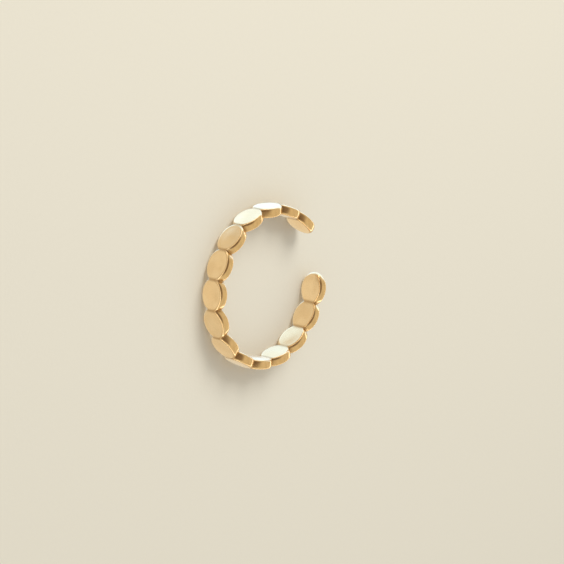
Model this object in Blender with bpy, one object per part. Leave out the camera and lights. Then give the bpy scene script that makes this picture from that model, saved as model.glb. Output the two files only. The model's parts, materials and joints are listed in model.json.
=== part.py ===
"""An open ear cuff: a ring of flat oval beads, soldered edge to edge, lying on its side.

Metres, +Z up. The ring's circle is centred on the origin and the cuff rests on the
plane Z = 0, on the rims of its beads. The opening that takes the rim of the ear
faces +X. One casting: every bead is fused to its neighbours, so the cuff is one solid.
"""

import math

import bmesh
import bpy
from mathutils import Matrix, Vector

MM = 0.001

# Driving sizes of the ring
OUTER_DIAMETER = 12.0 * MM  # across the flat outer faces of two opposite beads
OPENING_GAP = 3.4 * MM  # clear way between the tips of the two end beads
BEAD_COUNT = 15

# Driving sizes of one bead
BEAD_WIDTH = 1.94 * MM  # along the ring's axis, and so the height of the lying cuff
BEAD_THICKNESS = 0.78 * MM  # from its outer face to its inner face
SOLDER_OVERLAP = 0.17 * MM  # how far two neighbours run into each other at their outer faces
RIM_ROUND = 0.2 * MM  # radius that softens both rims of a bead

# How finely round shapes are faceted; a multiple of 4 gives each bead a lowest point
OUTLINE_SEGMENTS = 36
ROUND_SEGMENTS = 3
WELD_DISTANCE = 0.001 * MM

# Pale yellow gold
GOLD_COLOR = (0.94, 0.69, 0.41, 1.0)
GOLD_ROUGHNESS = 0.22

outer_radius = OUTER_DIAMETER / 2
mid_radius = outer_radius - BEAD_THICKNESS / 2
rim_round = min(RIM_ROUND, 0.45 * BEAD_THICKNESS)


def half_length(pitch):
    """Half the length of a bead that reaches past the plane it shares with its neighbour."""
    return outer_radius * math.tan(pitch / 2) + SOLDER_OVERLAP / 2


def angle_past_the_last_bead(pitch):
    """Half the angle round the ring that the opening leaves free of whole beads."""
    reach = half_length(pitch)
    tip_radius = math.hypot(mid_radius, reach)
    return math.atan(reach / mid_radius) + math.asin(OPENING_GAP / 2 / tip_radius)


def bead_pitch():
    """Angle between neighbouring beads that leaves exactly OPENING_GAP between the ends."""
    pitch = 2 * math.pi / BEAD_COUNT
    for _ in range(60):
        pitch = 2 * (math.pi - angle_past_the_last_bead(pitch)) / (BEAD_COUNT - 1)
    return pitch


def clear_scene():
    for obj in list(bpy.data.objects):
        bpy.data.objects.remove(obj, do_unlink=True)


def gold():
    material = bpy.data.materials.new("pale_gold")
    material.use_nodes = True
    shader = material.node_tree.nodes["Principled BSDF"]
    shader.inputs["Base Color"].default_value = GOLD_COLOR
    shader.inputs["Metallic"].default_value = 1.0
    shader.inputs["Roughness"].default_value = GOLD_ROUGHNESS
    return material


def rim_edges(bead):
    """The edges round the two flat faces of an oval prism, whose side faces have four corners."""
    return list({edge for face in bead.faces if len(face.verts) > 4 for edge in face.edges})


def oval_bead(pitch):
    """A flat oval bead with soft rims, standing on Z = 0 with its outer face towards +X."""
    bead = bmesh.new()
    bmesh.ops.create_cone(
        bead, cap_ends=True, segments=OUTLINE_SEGMENTS, radius1=1, radius2=1, depth=1
    )
    size = Vector((BEAD_WIDTH / 2, half_length(pitch), BEAD_THICKNESS))
    bmesh.ops.scale(bead, vec=size, verts=bead.verts)
    bmesh.ops.bevel(
        bead,
        geom=rim_edges(bead),
        offset=rim_round,
        segments=ROUND_SEGMENTS,
        profile=0.5,
        affect="EDGES",
        material=-1,
    )
    bmesh.ops.rotate(bead, cent=(0, 0, 0), matrix=Matrix.Rotation(math.pi / 2, 3, "Y"), verts=bead.verts)
    bmesh.ops.translate(bead, vec=(mid_radius, 0, BEAD_WIDTH / 2), verts=bead.verts)
    return bead


def cut_at_neighbour(bead, pitch, side):
    """Trims a bead at the plane it shares with the next one (side 1) or the one before (side -1)."""
    outwards = Vector((-math.sin(pitch / 2), side * math.cos(pitch / 2), 0))
    cut = bmesh.ops.bisect_plane(
        bead,
        geom=bead.verts[:] + bead.edges[:] + bead.faces[:],
        dist=WELD_DISTANCE,
        plane_co=(0, 0, 0),
        plane_no=outwards,
        clear_outer=True,
    )
    # A corner that was already close to the plane is moved onto it, so that both beads share it
    for vert in cut["geom_cut"]:
        if isinstance(vert, bmesh.types.BMVert):
            vert.co -= outwards * vert.co.dot(outwards)


def cuff_band(pitch):
    """All beads round the ring, from one side of the opening to the other, as one closed mesh."""
    band = bmesh.new()
    first_angle = math.pi - (BEAD_COUNT - 1) * pitch / 2
    one = bpy.data.meshes.new("one_bead")
    for k in range(BEAD_COUNT):
        bead = oval_bead(pitch)
        if k > 0:
            cut_at_neighbour(bead, pitch, -1)
        if k < BEAD_COUNT - 1:
            cut_at_neighbour(bead, pitch, 1)
        turn = Matrix.Rotation(first_angle + k * pitch, 3, "Z")
        bmesh.ops.rotate(bead, cent=(0, 0, 0), matrix=turn, verts=bead.verts)
        bead.to_mesh(one)
        bead.free()
        band.from_mesh(one)
    bpy.data.meshes.remove(one)
    bmesh.ops.remove_doubles(band, verts=band.verts, dist=WELD_DISTANCE)
    mesh = bpy.data.meshes.new("cuff_band")
    band.to_mesh(mesh)
    band.free()
    return mesh


def build():
    clear_scene()
    parts = bpy.data.collections.new("ear_cuff")
    bpy.context.scene.collection.children.link(parts)
    mesh = cuff_band(bead_pitch())
    mesh.shade_smooth()
    mesh.set_sharp_from_angle(angle=math.radians(35))
    mesh.materials.append(gold())
    band = bpy.data.objects.new("cuff_band", mesh)
    parts.objects.link(band)


build()
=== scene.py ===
# %% [markdown]
# An open ear cuff of small gold beads, lying on its side on a pale floor.
#
# The cuff is a ring of flat oval beads, soldered edge to edge, that is left open on one side
# so that it slides over the rim of an ear. Its construction is already made: this script
# loads it as a fixed frame, and then gives it the fine surface, the gold, the light and the
# camera. Read the cells in order. Each one defines what the next one needs.

# %% Load the frame
import json
import math

import bmesh
import bpy
from mathutils import Matrix, Quaternion, Vector, noise


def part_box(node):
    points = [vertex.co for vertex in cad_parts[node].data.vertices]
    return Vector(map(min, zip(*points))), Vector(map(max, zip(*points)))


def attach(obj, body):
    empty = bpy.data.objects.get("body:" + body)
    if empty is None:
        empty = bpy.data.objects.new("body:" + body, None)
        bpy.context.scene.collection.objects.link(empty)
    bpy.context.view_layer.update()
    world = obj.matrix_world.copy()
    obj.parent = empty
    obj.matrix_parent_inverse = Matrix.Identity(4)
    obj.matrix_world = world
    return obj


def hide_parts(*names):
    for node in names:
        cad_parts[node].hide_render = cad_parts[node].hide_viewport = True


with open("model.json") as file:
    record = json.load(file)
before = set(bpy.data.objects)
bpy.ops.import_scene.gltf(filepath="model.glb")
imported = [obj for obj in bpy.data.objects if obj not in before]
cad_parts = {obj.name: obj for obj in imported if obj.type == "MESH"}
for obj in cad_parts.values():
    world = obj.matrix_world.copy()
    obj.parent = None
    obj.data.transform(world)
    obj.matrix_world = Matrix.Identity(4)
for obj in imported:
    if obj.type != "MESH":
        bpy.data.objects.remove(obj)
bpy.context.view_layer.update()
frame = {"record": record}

# %% [markdown]
# The frame already knows the size of the cuff, so nothing is measured twice. Its flat faces
# are listed as mounts: the back face lies on the outside of the bead opposite the opening,
# the seat on the inside of the same bead, and a grip on the inside of each end bead. The
# back face, the seat and one grip give the ring's radius, the thickness of a bead and the
# angle from one bead to the next. The cuff is tiny, so it is modelled in millimetres.

# %% Read the cuff's sizes from the frame
MM = 0.001
BEAD_COUNT = 15

mounts = {mount["name"]: Vector(mount["pos_m"]) / MM for mount in frame["record"]["mounts"]}
low, high = (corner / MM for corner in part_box("cuff_band"))

outer_radius = mounts["back_face"].xy.length
bead_thickness = outer_radius - mounts["ear_seat"].xy.length
mid_radius = outer_radius - bead_thickness / 2
bead_width = high.z - low.z
end_bead_angle = math.atan2(mounts["tip_grip_left"].y, mounts["tip_grip_left"].x)
pitch = 2 * (math.pi - end_bead_angle) / (BEAD_COUNT - 1)
ring_centre = Vector((0, 0, low.z + bead_width / 2))

print(f"Ring radius {outer_radius:.2f} mm, one bead every {math.degrees(pitch):.2f} degrees")
print(f"Beads {bead_width:.2f} mm wide and {bead_thickness:.2f} mm thick")

# %% [markdown]
# One bead is a short oval drum. A lathe could turn it only if it were round, so a cone
# primitive with equal ends gives the drum and a scale makes it oval. A bevel then rolls both
# rims over, as tumbling does to cast metal. Neighbours run a little into each other, so a
# bead is longer than the way from one seam to the next. The drum is made a hair too thin,
# because the next step adds a crown to each face.

# %% Shape one bead
SOLDER_OVERLAP = 0.17
RIM_ROUND = 0.2
RIM_STEPS = 6
OUTLINE_STEPS = 96
FACE_CROWN = 0.03

half_length = outer_radius * math.tan(pitch / 2) + SOLDER_OVERLAP / 2
print(f"Length of a whole bead: {2 * half_length:.2f} mm")


def oval_faces(bead):
    """The two oval faces of a bead. All its other faces have four corners at most."""
    return [face for face in bead.faces if len(face.verts) > 4]


def oval_drum():
    """A flat oval drum with rolled rims, its faces square to Z, centred on the origin."""
    bead = bmesh.new()
    depth = bead_thickness - 2 * FACE_CROWN
    bmesh.ops.create_cone(
        bead, cap_ends=True, segments=OUTLINE_STEPS, radius1=1, radius2=1, depth=depth
    )
    bmesh.ops.scale(bead, vec=(bead_width / 2, half_length, 1), verts=bead.verts)
    rims = [edge for face in oval_faces(bead) for edge in face.edges]
    bmesh.ops.bevel(
        bead, geom=rims, offset=RIM_ROUND, segments=RIM_STEPS, profile=0.5,
        affect="EDGES", material=-1,
    )
    return bead


# %% [markdown]
# A cast and polished face is never perfectly flat: it swells by a hair in the middle. That
# crown makes the reflection of a lamp slide softly across the bead, where a flat face would
# switch it on and off. A subdivision surface would round the rim as well, so each face is
# inset in rings instead, and every ring is lifted a little more than the last.

# %% Crown both faces of a bead
CROWN_RINGS = (0.93, 0.84, 0.73, 0.6, 0.45, 0.28)


def crown(share):
    """How high the face stands above its rim, at this share of the way out to the rim."""
    return FACE_CROWN * (1 - share * share) ** 2


def crown_faces(bead):
    """Insets both faces in rings and lifts each ring, up to the middle of the face."""
    for face in oval_faces(bead):
        outwards = face.normal.copy()
        last = 1.0
        for share in CROWN_RINGS:
            bmesh.ops.inset_region(bead, faces=[face], thickness=0, use_even_offset=True)
            bmesh.ops.scale(bead, vec=(share / last, share / last, 1), verts=face.verts)
            bmesh.ops.translate(bead, vec=outwards * (crown(share) - crown(last)), verts=face.verts)
            last = share
        middle = bmesh.ops.poke(bead, faces=[face])["verts"]
        bmesh.ops.translate(bead, vec=outwards * (crown(0) - crown(last)), verts=middle)


# %% [markdown]
# The beads are joined the way a goldsmith joins them: each is filed to a wedge where it
# meets its neighbour, so the two cut faces close on the same plane through the ring's axis.
# A cut that passes close to a corner moves that corner onto the plane, which keeps slivers
# out of the mesh. Only the two end beads keep one side free. It slides over skin, so it
# narrows to a soft nose: the closer a corner lies to the free end, the closer it moves to
# the middle of the bead's thickness.

# %% Cut a bead to its neighbours and stand it on the ring
SNAP = 0.012
NOSE_LENGTH = 0.5
NOSE_DROP = 0.65


def cut_to_neighbour(bead, side):
    """Trims a bead at the seam it shares with the next one (side 1) or the one before (side -1)."""
    outwards = Vector((-math.sin(pitch / 2), side * math.cos(pitch / 2), 0))
    cut = bmesh.ops.bisect_plane(
        bead, geom=bead.verts[:] + bead.edges[:] + bead.faces[:], dist=SNAP,
        plane_co=(0, 0, 0), plane_no=outwards, clear_outer=True,
    )
    for corner in (item for item in cut["geom_cut"] if isinstance(item, bmesh.types.BMVert)):
        corner.co -= outwards * corner.co.dot(outwards)


def round_free_end(bead, side):
    """Draws the free end on this side (1 or -1) in to a soft nose, a quarter of an ellipse."""
    start = 1 - NOSE_LENGTH / half_length
    for corner in bead.verts:
        along = side * corner.co.y / half_length
        across = (corner.co.z - ring_centre.z) / (bead_width / 2)
        reach = math.hypot(along, across)
        share = min(max((reach - start) / (1 - start), 0), 1)
        facing_end = max(along / max(reach, start), 0)
        drop = NOSE_DROP * facing_end ** 2 * (1 - math.sqrt(1 - share * share))
        corner.co.x += (mid_radius - corner.co.x) * drop


def bead_on_ring(number):
    """The bead with this number, counted round the ring from one side of the opening."""
    bead = oval_drum()
    crown_faces(bead)
    upright = Matrix.Rotation(math.pi / 2, 3, "Y")
    bmesh.ops.rotate(bead, cent=(0, 0, 0), matrix=upright, verts=bead.verts)
    on_ring = ring_centre + Vector((mid_radius, 0, 0))
    bmesh.ops.translate(bead, vec=on_ring, verts=bead.verts)
    for side, last in ((-1, 0), (1, BEAD_COUNT - 1)):
        if number == last:
            round_free_end(bead, side)
        else:
            cut_to_neighbour(bead, side)
    turn = Matrix.Rotation(end_bead_angle + number * pitch, 3, "Z")
    bmesh.ops.rotate(bead, cent=(0, 0, 0), matrix=turn, verts=bead.verts)
    return bead


# %% [markdown]
# All beads go into one mesh and are welded along their seams. Solder leaves a small hollow
# fillet in the notch between two beads, so the sharp inward edges are softened: the corners
# close to a seam are smoothed a few times, and all others stay where they are.

# %% Solder the beads into one band
WELD = 0.002
SEAM_ANGLE = math.radians(6)
SEAM_PASSES = 3
SEAM_SMOOTHING = 0.5


def solder_band():
    """Every bead of the ring in one closed mesh, in millimetres."""
    band = bmesh.new()
    carrier = bpy.data.meshes.new("carrier")
    for number in range(BEAD_COUNT):
        bead = bead_on_ring(number)
        bead.to_mesh(carrier)
        bead.free()
        band.from_mesh(carrier)
    bpy.data.meshes.remove(carrier)
    bmesh.ops.remove_doubles(band, verts=band.verts, dist=WELD)
    return band


def soften_seams(band):
    """Smooths the corners along the inward edges, which run only where two beads meet."""
    seams = [edge for edge in band.edges if edge.calc_face_angle_signed(0) < -SEAM_ANGLE]
    corners = {corner for edge in seams for corner in edge.verts}
    around = corners | {edge.other_vert(corner) for corner in corners for edge in corner.link_edges}
    for _ in range(SEAM_PASSES):
        bmesh.ops.smooth_vert(
            band, verts=list(around), factor=SEAM_SMOOTHING,
            use_axis_x=True, use_axis_y=True, use_axis_z=True,
        )
    return len(seams)


band = solder_band()
print("Seam edges softened:", soften_seams(band))
print("Open edges:", sum(1 for edge in band.edges if len(edge.link_faces) != 2))

# %% [markdown]
# Nothing that a hand has filed and polished is quite true. Polished metal shows this more
# than any other surface, because its reflections bend twice as far as the metal does. So
# each corner is pressed in by a few thousandths of a millimetre, in slow waves about as long
# as a bead. It goes only inwards, and the cuff keeps its measured size.

# %% Let the polishing wheel leave its slow waves
WAVE_DEPTH = 0.008
WAVE_LENGTH = 1.6


def polish_by_hand(band):
    """Presses the surface in by up to WAVE_DEPTH, following smooth three-dimensional noise."""
    band.normal_update()
    pressed = []
    for corner in band.verts:
        depth = WAVE_DEPTH * (1 - noise.noise(corner.co / WAVE_LENGTH)) / 2
        corner.co -= corner.normal * depth
        pressed.append(depth)
    return max(pressed)


print(f"Deepest wave: {polish_by_hand(band):.4f} mm")

# %% [markdown]
# The shape is done. It is scaled back to metres and becomes an object at the origin, which
# moves with the cuff's only body, takes the place of the plain band and counts as gold.

# %% Turn the band into the finished piece
bmesh.ops.scale(band, vec=(MM, MM, MM), verts=band.verts)
band_mesh = bpy.data.meshes.new("gold_band")
band.to_mesh(band_mesh)
band.free()
band_mesh.shade_smooth()
gold_band = bpy.data.objects.new("gold_band", band_mesh)
bpy.context.scene.collection.objects.link(gold_band)

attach(gold_band, "root")
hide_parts("cuff_band")
print("Triangles:", sum(len(face.vertices) - 2 for face in band_mesh.polygons))

# %% [markdown]
# The finish changes with the place on a bead: fine polishing lines run along the band, solder
# and painted shade darken the seams, and the rims are rubbed paler. The mesh is asked where
# each corner lies and keeps the answer as attributes, which the material reads later. That
# works better here than a UV map, which would have to be cut open somewhere.

# %% Mark where each corner lies on its bead
# The seam mark fades out this far from a seam. It carries the brown and painted shade, the torch's
# roughness and the pits
SEAM_REACH = 0.2


def where_on_bead(corner, normal):
    """The place along, up and across the band in millimetres, and how much seam and rim it is."""
    angle = math.atan2(corner.y, corner.x) % math.tau
    number = min(max(round((angle - end_bead_angle) / pitch), 0), BEAD_COUNT - 1)
    bead_angle = end_bead_angle + number * pitch
    turned = angle - bead_angle
    radius = corner.xy.length
    lay = (
        number * pitch * outer_radius + radius * math.sin(turned),
        corner.z,
        radius * math.cos(turned) - mid_radius,
    )
    free_side = (number == 0 and turned < 0) or (number == BEAD_COUNT - 1 and turned > 0)
    to_seam = SEAM_REACH if free_side else radius * math.sin(pitch / 2 - abs(turned))
    near = 1 - min(max(to_seam / SEAM_REACH, 0), 1)
    seam = near * near * (3 - 2 * near)
    # The rim is 1 where the surface slants halfway, and 0 on the oval faces and the side walls
    facing = normal.x * math.cos(bead_angle) + normal.y * math.sin(bead_angle)
    rim = 4 * facing * facing * (1 - facing * facing)
    return lay, seam, rim


places = [where_on_bead(vertex.co / MM, vertex.normal) for vertex in band_mesh.vertices]
lays, seams, rims = zip(*places)
along = band_mesh.attributes.new("lay", "FLOAT_VECTOR", "POINT")
along.data.foreach_set("vector", [value for lay in lays for value in lay])
for name, values in (("seam", seams), ("rim", rims)):
    marks = band_mesh.attributes.new(name, "FLOAT", "POINT")
    marks.data.foreach_set("value", values)
    print(f"Corners marked as {name}:", sum(1 for value in values if value > 0.5))

# %% [markdown]
# Every material below is built from the same few nodes, so a handful of helpers keeps the
# recipes short. The first four place a node, join a socket or fill it with a value, start a
# material, and find the place on the object in millimetres.

# %% Helpers that place and join nodes


def place(tree, kind, **settings):
    """Adds a shader node of this kind to a tree and gives it its settings."""
    node = tree.nodes.new("ShaderNode" + kind)
    for name, value in settings.items():
        setattr(node, name, value)
    return node


def feed(tree, socket, value):
    """Joins a socket to another node's output, or fills it with a number, vector or colour."""
    if isinstance(value, bpy.types.NodeSocket):
        tree.links.new(value, socket)
    elif socket.type == "RGBA":
        socket.default_value = (*value, 1.0)
    else:
        socket.default_value = value


def new_material(name):
    """A material of this name, with its tree of nodes and its shader."""
    material = bpy.data.materials.new(name)
    material.use_nodes = True
    return material, material.node_tree, material.node_tree.nodes["Principled BSDF"]


def object_in_mm(tree):
    """The place on the object, in millimetres."""
    node = place(tree, "Mapping")
    feed(tree, node.inputs["Scale"], (1 / MM, 1 / MM, 1 / MM))
    feed(tree, node.inputs["Vector"], place(tree, "TexCoord").outputs["Object"])
    return node.outputs["Vector"]


# %% [markdown]
# A finish is a pattern, and most patterns begin as noise: soft patches that never repeat. A
# stretch picks out a range of the noise, which decides how large a share of the surface the
# pattern covers. The last two helpers calculate with such values and mix colours by them.

# %% Helpers that make patterns


def noise_texture(tree, vector, scale, detail):
    """Soft random patches between 0 and 1, this many to a unit of the vector."""
    node = place(tree, "TexNoise")
    feed(tree, node.inputs["Vector"], vector)
    feed(tree, node.inputs["Scale"], scale)
    feed(tree, node.inputs["Detail"], detail)
    return node.outputs["Fac"]


def stretch(tree, value, start, end, low=0.0, high=1.0):
    """Takes the range from start to end to the range from low to high, with soft ends."""
    node = place(tree, "MapRange", interpolation_type="SMOOTHSTEP")
    for name, number in (("Value", value), ("From Min", start), ("From Max", end),
                         ("To Min", low), ("To Max", high)):
        feed(tree, node.inputs[name], number)
    return node.outputs["Result"]


def calculate(tree, operation, *values):
    """The result of a Math node that works on these values."""
    node = place(tree, "Math", operation=operation)
    for socket, value in zip(node.inputs, values):
        feed(tree, socket, value)
    return node.outputs[0]


def mix_colours(tree, factor, first, second):
    """The first colour where the factor is 0, and the second where it is 1."""
    node = place(tree, "Mix", data_type="RGBA")
    feed(tree, node.inputs["Factor"], factor)
    feed(tree, node.inputs["A"], first)
    feed(tree, node.inputs["B"], second)
    return node.outputs["Result"]


# %% [markdown]
# Gold plate is a mirror with a colour of its own, so the shader is fully metallic and the
# base colour is the colour of the reflection. A single colour would look like plastic foil.
# Real plate is a little redder where it lies thick, paler where a rim has been rubbed, and
# brown in the seams, where the polishing wheel never reaches. That brown is made deeper with
# painted shade, for the dark notches between the beads.

# %% Gold: colour
THIN_PLATE = (0.955, 0.71, 0.43)
THICK_PLATE = (0.925, 0.665, 0.385)
RUBBED_RIM = (0.97, 0.80, 0.57)
# Brown of the solder in the seams, deepened with painted shade for the dark notches
SEAM_BROWN_AND_SHADE = (0.42, 0.24, 0.09)
RUBBED_SHARE = 0.6
BROWN_AND_SHADE_SHARE = 0.6

# Each spread gives the noise where an effect begins and the noise where it is full
PLATE_SPREAD = (0.35, 0.65)
WEAR_SPREAD = (0.42, 0.64)

gold, tree, shader = new_material("polished_gold")
feed(tree, shader.inputs["Metallic"], 1.0)
surface = object_in_mm(tree)
seam = place(tree, "Attribute", attribute_name="seam").outputs["Fac"]
rim = place(tree, "Attribute", attribute_name="rim").outputs["Fac"]

patches = noise_texture(tree, surface, scale=0.8, detail=3.0)
colour = mix_colours(tree, stretch(tree, patches, *PLATE_SPREAD), THIN_PLATE, THICK_PLATE)
wear = noise_texture(tree, surface, scale=4.0, detail=4.0)
wear = stretch(tree, wear, *WEAR_SPREAD, high=RUBBED_SHARE)
colour = mix_colours(tree, calculate(tree, "MULTIPLY", rim, wear), colour, RUBBED_RIM)
# Painted shade: the seams are mixed towards brown, partly solder and partly the shade of the
# notches
colour = mix_colours(tree, calculate(tree, "MULTIPLY", seam, BROWN_AND_SHADE_SHARE), colour, SEAM_BROWN_AND_SHADE)
feed(tree, shader.inputs["Base Color"], colour)
band_mesh.materials.append(gold)

# %% [markdown]
# Roughness decides how sharp a reflection is. The buffed faces are smoothest, and a breath
# of haze drifts over them in patches. A few larger smudges add to it, and so does the torch,
# which leaves the seams roughest.

# %% Gold: roughness
BUFFED_ROUGHNESS = 0.12
HAZY_ROUGHNESS = 0.2
SMUDGE_ADDS = 0.05
TORCH_ADDS = 0.2
HAZE_SPREAD = (0.35, 0.7)
SMUDGE_SPREAD = (0.5, 0.68)

haze = noise_texture(tree, surface, scale=2.4, detail=4.0)
haze = stretch(tree, haze, *HAZE_SPREAD, low=BUFFED_ROUGHNESS, high=HAZY_ROUGHNESS)
smudges = noise_texture(tree, surface, scale=0.5, detail=2.0)
smudges = stretch(tree, smudges, *SMUDGE_SPREAD, high=SMUDGE_ADDS)
roughness = calculate(tree, "ADD", haze, smudges)
roughness = calculate(tree, "MULTIPLY_ADD", seam, TORCH_ADDS, roughness)
feed(tree, shader.inputs["Roughness"], roughness)

# %% [markdown]
# The last layer is relief, far too fine to model. The wheel leaves hairlines along the band,
# wear adds a few longer scratches at a slant, and the solder in the seams is pitted. The
# lines are noise on the place along the band, squeezed until its patches are long and thin.
# The pits are plain noise that shows in the seams alone. Each becomes a bump, with its real
# depth in millimetres.

# %% Gold: relief
HAIRLINE_DEPTH = 0.00022
SCRATCH_DEPTH = 0.001
SCRATCH_SLANTS = (24, -38, 71)
PIT_DEPTH = 0.0025

# A bump is low where its height is 0, so this spread gives the bottom of a scratch first
SCRATCH_SPREAD = (0.74, 0.68)

along_band = place(tree, "Attribute", attribute_name="lay").outputs["Vector"]


def lines_along(slant, length, width, detail):
    """Noise whose patches are lines of this size in mm, at this slant to the band in degrees."""
    squeeze = place(tree, "Mapping")
    feed(tree, squeeze.inputs["Vector"], along_band)
    feed(tree, squeeze.inputs["Rotation"], (0, 0, math.radians(slant)))
    feed(tree, squeeze.inputs["Scale"], (1 / length, 1 / width, 1 / width))
    return noise_texture(tree, squeeze.outputs["Vector"], scale=1.0, detail=detail)


def press_in(tree, height, depth, below=None):
    """A bump of this depth in millimetres, laid over the bumps that are already there."""
    node = place(tree, "Bump")
    feed(tree, node.inputs["Distance"], depth * MM)
    feed(tree, node.inputs["Height"], height)
    if below is not None:
        feed(tree, node.inputs["Normal"], below)
    return node.outputs["Normal"]


hairlines = lines_along(slant=3, length=1.2, width=0.03, detail=3.0)
relief = press_in(tree, hairlines, HAIRLINE_DEPTH)
for slant in SCRATCH_SLANTS:
    scratches = lines_along(slant, length=1.8, width=0.07, detail=1.0)
    relief = press_in(tree, stretch(tree, scratches, *SCRATCH_SPREAD), SCRATCH_DEPTH, relief)
pits = calculate(tree, "MULTIPLY", seam, noise_texture(tree, surface, scale=14.0, detail=3.0))
relief = press_in(tree, pits, PIT_DEPTH, relief)
feed(tree, shader.inputs["Normal"], relief)
print("Nodes in the gold:", len(tree.nodes))

# %% [markdown]
# The camera looks at the cuff as the photograph does, from the side of the ring and a little
# above its plane, with a long lens that hardly narrows what is far away. It is turned about
# its own axis, so that the lying cuff appears at the photograph's angle. Its aim comes from
# where the middle of the ring sits in the photograph, and its lens from the ring's size there.

# %% Camera
CAMERA_AZIMUTH = math.radians(144.32)
CAMERA_ELEVATION = math.radians(38.27)
CAMERA_ROLL = math.radians(102.69)
CAMERA_DISTANCE = 300 * MM
PHOTO_SIDE = 564
RING_PIXEL = Vector((265.5, 286.2))
RADIUS_PIXELS = 77.84
SENSOR = 36.0
NEAREST = 10 * MM
FARTHEST = 10


def towards(azimuth, elevation):
    """The direction with this azimuth from +X and this height above the floor, in radians."""
    flat = math.cos(elevation)
    return Vector((flat * math.cos(azimuth), flat * math.sin(azimuth), math.sin(elevation)))


pixel = mid_radius * MM / RADIUS_PIXELS
back = towards(CAMERA_AZIMUTH, CAMERA_ELEVATION)
turn = back.to_track_quat("Z", "Y") @ Quaternion((0, 0, 1), CAMERA_ROLL)
off_centre = Vector((PHOTO_SIDE / 2 - RING_PIXEL.x, RING_PIXEL.y - PHOTO_SIDE / 2, 0)) * pixel

camera = bpy.data.objects.new("camera", bpy.data.cameras.new("camera"))
camera.data.sensor_width = SENSOR
camera.data.lens = SENSOR * CAMERA_DISTANCE / (PHOTO_SIDE * pixel)
camera.data.clip_start = NEAREST
camera.data.clip_end = FARTHEST
camera.rotation_mode = "QUATERNION"
camera.rotation_quaternion = turn
camera.location = ring_centre * MM + turn @ off_centre + back * CAMERA_DISTANCE
bpy.context.scene.collection.objects.link(camera)
bpy.context.scene.camera = camera
print(f"Lens of {camera.data.lens:.0f} mm at {CAMERA_DISTANCE:.2f} m")

# %% [markdown]
# The floor is a sheet of warm, matt card. It is much larger than the cuff, so that no edge
# shows from any side. The grain of its fibres keeps it from looking like a flat fill: one
# noise tints the card faintly and roughens its surface. The card is hidden from mirror rays,
# because the room below has a table of its own for the gold to reflect.

# %% Floor
FLOOR_SIDE = 2.0
CARD_LIGHT = (0.805, 0.75, 0.614)
CARD_SHADE = (0.79, 0.735, 0.602)
CARD_ROUGHNESS = 0.9
CARD_GLOSS = 0.1
FIBRE_DEPTH = 0.006

floor_grid = bmesh.new()
bmesh.ops.create_grid(floor_grid, x_segments=1, y_segments=1, size=FLOOR_SIDE / 2)
floor_mesh = bpy.data.meshes.new("floor")
floor_grid.to_mesh(floor_mesh)
floor_grid.free()
floor = bpy.data.objects.new("floor", floor_mesh)
bpy.context.scene.collection.objects.link(floor)

card, tree, shader = new_material("matt_card")
fibres = noise_texture(tree, object_in_mm(tree), scale=3.5, detail=5.0)
feed(tree, shader.inputs["Base Color"], mix_colours(tree, fibres, CARD_SHADE, CARD_LIGHT))
feed(tree, shader.inputs["Roughness"], CARD_ROUGHNESS)
feed(tree, shader.inputs["Specular IOR Level"], CARD_GLOSS)
feed(tree, shader.inputs["Normal"], press_in(tree, fibres, FIBRE_DEPTH))
floor_mesh.materials.append(card)
floor.visible_glossy = False
print(f"Floor of {FLOOR_SIDE:.0f} by {FLOOR_SIDE:.0f} m")

# %% [markdown]
# Polished gold shows little of itself and much of the room. The room is therefore built on
# purpose, from the bottom up: a pale table, its farther part in half shade, its far edge,
# which catches the light and draws a bright line along the rims, and warm dusk above. Each of
# them is a layer between two heights, where the horizon is at height 0 and straight up at 1.

# %% The room that the gold reflects, layer by layer
TABLE = (0.79, 0.74, 0.60)
TABLE_SHADE = (0.60, 0.515, 0.36)
FAR_EDGE = (2.0, 1.85, 1.5)
DUSK = (0.66, 0.565, 0.37)
DUSK_FADE = (-0.12, 0.06)
SHADE_FADES = ((-0.56, -0.4), (-0.1, 0.0))
SHADE_STRENGTH = 0.85
EDGE_FADES = ((-0.06, 0.03), (0.11, 0.2))

world = bpy.data.worlds.new("studio")
bpy.context.scene.world = world
world.use_nodes = True
tree = world.node_tree
tree.nodes.clear()
direction = place(tree, "TexCoord").outputs["Generated"]
parts = place(tree, "SeparateXYZ")
feed(tree, parts.inputs[0], direction)
height = parts.outputs["Z"]


def layer(rise, fall, strength=1.0):
    """`strength` between two heights, fading in over the heights `rise` and out over `fall`."""
    fading_out = stretch(tree, height, *fall, low=strength, high=0.0)
    return calculate(tree, "MULTIPLY", stretch(tree, height, *rise), fading_out)


room = mix_colours(tree, stretch(tree, height, *DUSK_FADE), TABLE, DUSK)
room = mix_colours(tree, layer(*SHADE_FADES, strength=SHADE_STRENGTH), room, TABLE_SHADE)
room = mix_colours(tree, layer(*EDGE_FADES), room, FAR_EDGE)

# %% [markdown]
# Round patches are laid over the layers. A dark corner draws a dark line beside the bright
# one, and a large window in two parts turns a few beads white. No real room is even, so soft
# noise makes all of it a little lighter here and darker there.

# %% The room's dark corner and its window
DARK_CORNER = (0.22, 0.155, 0.09)
WINDOW = (1.06, 1.43, 1.88)
UNEVEN = 0.09
CLUTTER_SPREAD = (0.3, 0.7)

# In degrees: azimuth, elevation, how far out a patch ends and how far out it is still full
CORNER_PATCH = (126, 47, 58, 20)
WINDOW_PATCHES = ((6, -8, 30, 8), (32, -34, 43, 28))


def patch(azimuth, elevation, outer, inner):
    """1 within `inner` degrees of a direction, falling softly to 0 at `outer` degrees."""
    facing = place(tree, "VectorMath", operation="DOT_PRODUCT")
    feed(tree, facing.inputs[0], direction)
    feed(tree, facing.inputs[1], towards(math.radians(azimuth), math.radians(elevation)))
    start, end = (math.cos(math.radians(angle)) for angle in (outer, inner))
    return stretch(tree, facing.outputs["Value"], start, end)


room = mix_colours(tree, patch(*CORNER_PATCH), room, DARK_CORNER)
for window in WINDOW_PATCHES:
    room = mix_colours(tree, patch(*window), room, WINDOW)

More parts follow.
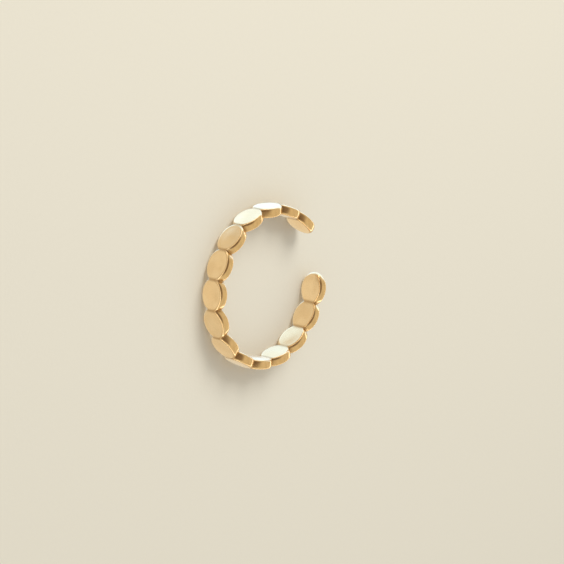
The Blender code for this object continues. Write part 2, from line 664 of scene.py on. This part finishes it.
clutter = noise_texture(tree, direction, scale=2.6, detail=2.0)
clutter = stretch(tree, clutter, *CLUTTER_SPREAD, low=1 - UNEVEN, high=1 + UNEVEN)
uneven = place(tree, "VectorMath", operation="SCALE")
feed(tree, uneven.inputs[0], room)
feed(tree, uneven.inputs["Scale"], clutter)
room = uneven.outputs["Vector"]

# %% [markdown]
# The room is kept for mirror rays alone. The floor gets an even soft light instead, so that
# no patch of the room stains it, and a camera that looks past the floor sees the table's tone.

# %% Show the room to mirror rays alone
SOFT_LIGHT = (0.66, 0.66, 0.66)


def background(colour):
    """A background of this colour."""
    node = place(tree, "Background")
    feed(tree, node.inputs["Color"], colour)
    return node.outputs[0]


def choose(ray, otherwise, chosen):
    """Shows `chosen` to this kind of ray, and `otherwise` to all others."""
    node = place(tree, "MixShader")
    feed(tree, node.inputs[0], place(tree, "LightPath").outputs[ray])
    feed(tree, node.inputs[1], otherwise)
    feed(tree, node.inputs[2], chosen)
    return node.outputs[0]


light = choose("Is Glossy Ray", background(SOFT_LIGHT), background(room))
light = choose("Is Camera Ray", light, background(TABLE))
feed(tree, place(tree, "OutputWorld").inputs["Surface"], light)
print("Nodes in the room:", len(tree.nodes))

# %% [markdown]
# One soft lamp gives the floor its slow fall of brightness and the cuff its shadow. In the
# picture it stands above the cuff and a little to the right, so the shadow falls down and a
# little to the left. It is hidden from mirror rays, for the room's window already does its
# work in the gold.

# %% Lamp
LAMP_SIDE = 0.13
LAMP_DISTANCE = 0.24
LAMP_WATTS = 0.32
LAMP_AZIMUTH = math.radians(60)
LAMP_ELEVATION = math.radians(40)

lamp_from = towards(LAMP_AZIMUTH, LAMP_ELEVATION)
lamp = bpy.data.objects.new("lamp", bpy.data.lights.new("lamp", "AREA"))
lamp.data.size = LAMP_SIDE
lamp.data.energy = LAMP_WATTS
lamp.location = lamp_from * LAMP_DISTANCE
lamp.rotation_mode = "QUATERNION"
lamp.rotation_quaternion = lamp_from.to_track_quat("Z", "Y")
lamp.visible_glossy = False
lamp.visible_camera = False
bpy.context.scene.collection.objects.link(lamp)
bpy.context.scene.view_settings.view_transform = "Standard"
print(f"Lamp of {LAMP_WATTS} W, {LAMP_DISTANCE} m from the cuff")
